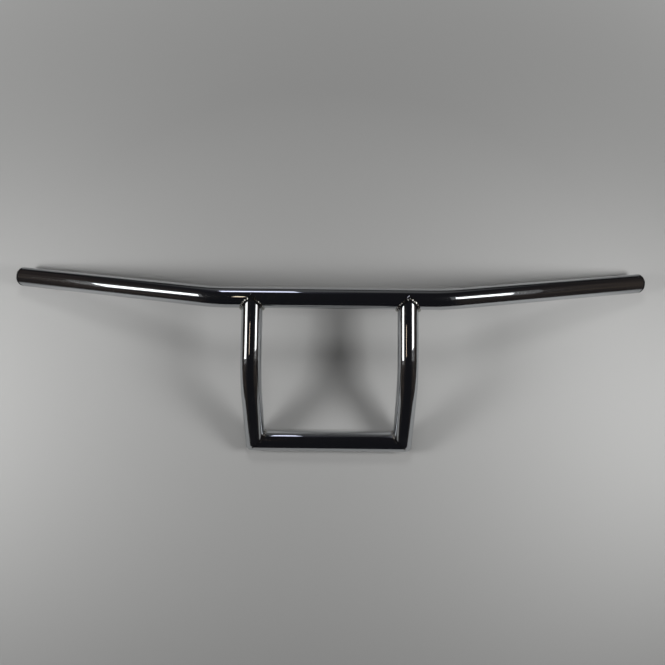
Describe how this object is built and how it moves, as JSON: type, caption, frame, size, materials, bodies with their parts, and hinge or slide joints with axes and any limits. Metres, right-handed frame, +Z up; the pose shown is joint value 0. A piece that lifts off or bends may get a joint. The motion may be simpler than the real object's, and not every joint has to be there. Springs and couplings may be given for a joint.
{
  "type": "motorcycle t-bar handlebar",
  "caption": "Welded chrome T-bar handlebar: a swept-back grip tube carried on bent risers above a straight clamp tube, with plugs in the tube ends.",
  "frame": {"origin": "centre of the straight clamp tube, one tube radius above the ground that the handlebar rests on", "axes": "+X along the bar from its left to its right end, +Y from the clamp tube towards the grip tube along the ground, +Z up"},
  "size_m": [0.8384, 0.2389, 0.0914],
  "materials": {
    "chrome": "electroplated chrome over polished steel tube, mirror bright",
    "weld_chrome": "electroplated chrome over unpolished rippled weld beads",
    "black_plastic": "moulded black plastic, satin"
  },
  "bodies": {
    "root": {"grip_tube": "chrome", "riser_left": "chrome", "riser_right": "chrome", "clamp_tube": "chrome", "top_weld_left": "weld_chrome", "top_weld_right": "weld_chrome", "corner_weld_left": "weld_chrome", "corner_weld_right": "weld_chrome", "end_plug_left": "black_plastic", "end_plug_right": "black_plastic"}
  },
  "joints": []
}
